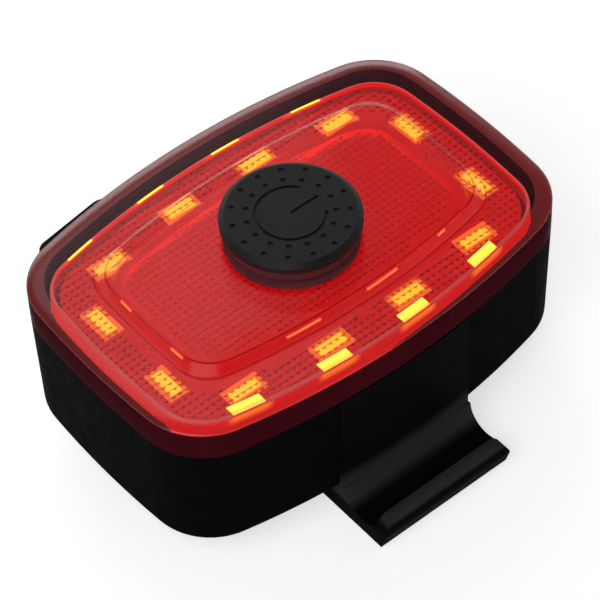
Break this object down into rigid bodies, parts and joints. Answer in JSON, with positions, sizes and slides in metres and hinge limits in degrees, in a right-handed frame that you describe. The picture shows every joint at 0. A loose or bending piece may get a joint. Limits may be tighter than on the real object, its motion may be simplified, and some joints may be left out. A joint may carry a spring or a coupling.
{
  "type": "bicycle tail light",
  "caption": "Flat bulged tail light with a smoked cover over a red prism lens, a round push button, a strap hook at each side and a saddle for a seat post.",
  "frame": {"origin": "centre of the underside, on the plane that the strap base lies on", "axes": "+Z out of the lens towards the viewer on the road, +X along the long side, +Y across it towards the charging port"},
  "size_m": [0.068, 0.0632, 0.0327],
  "materials": {
    "black_plastic": "satin moulded",
    "black_rubber": "matt",
    "smoked_plastic": "polished, see-through",
    "red_lens": "see-through with a fine lattice",
    "charcoal_plastic": "satin",
    "grey_plastic": "moulded",
    "white_plastic": "matt",
    "led_yellow": "clear resin over a white frame",
    "circuit_board": "solder resist",
    "chip_black": "moulded",
    "coil_grey": "ferrite",
    "ceramic_tan": "ceramic",
    "screw_steel": "zinc-plated",
    "plated_steel": "nickel-plated",
    "brass_pin": "plated",
    "cell_foil": "pouch foil",
    "foam_grey": "foam",
    "lead_red": "insulation"
  },
  "bodies": {
    "light": {"rear_housing": "black_plastic", "strap_base": "black_plastic", "seatpost_pad": "black_rubber", "cover_gasket": "black_rubber", "button_gasket": "black_rubber", "usb_cover_anchor": "black_rubber", "front_cover": "smoked_plastic", "prism_lens": "red_lens", "led_mask": "white_plastic", "battery_plug": "white_plastic", "battery_header": "white_plastic", "leds": "led_yellow", "main_board": "circuit_board", "port_board": "circuit_board", "switch_body": "chip_black", "usb_tongue": "chip_black", "control_chip": "chip_black", "boost_coil": "coil_grey", "chip_parts": "ceramic_tan", "board_screws": "screw_steel", "port_board_screws": "screw_steel", "base_screws": "screw_steel", "usb_shell": "plated_steel", "link_pins": "brass_pin", "battery_cell": "cell_foil", "battery_pad": "foam_grey", "battery_leads": "lead_red"},
    "button": {"button_cap": "charcoal_plastic", "button_stem": "grey_plastic"},
    "plunger": {"switch_plunger": "grey_plastic"},
    "flap": {"usb_cover": "black_rubber"}
  },
  "joints": [
    {"name": "button_press", "type": "slide", "parent": "light", "child": "button", "axis": [0, 0, -1], "range_m": [0, 0.0005], "stiffness_N_per_m": 2000},
    {"name": "plunger_press", "type": "slide", "parent": "light", "child": "plunger", "axis": [0, 0, -1], "range_m": [0, 0.0005]},
    {"name": "flap_hinge", "type": "hinge", "parent": "light", "child": "flap", "pos_m": [-0.01746, 0.02251, 0.01575], "axis": [-0.9891, -0.1475, 0], "range_deg": [0, 110], "stiffness_Nm_per_rad": 0.0005, "springref_deg": -17.19}
  ],
  "couplings": [
    {"joint": "plunger_press", "follows": "button_press", "ratio": 1}
  ]
}
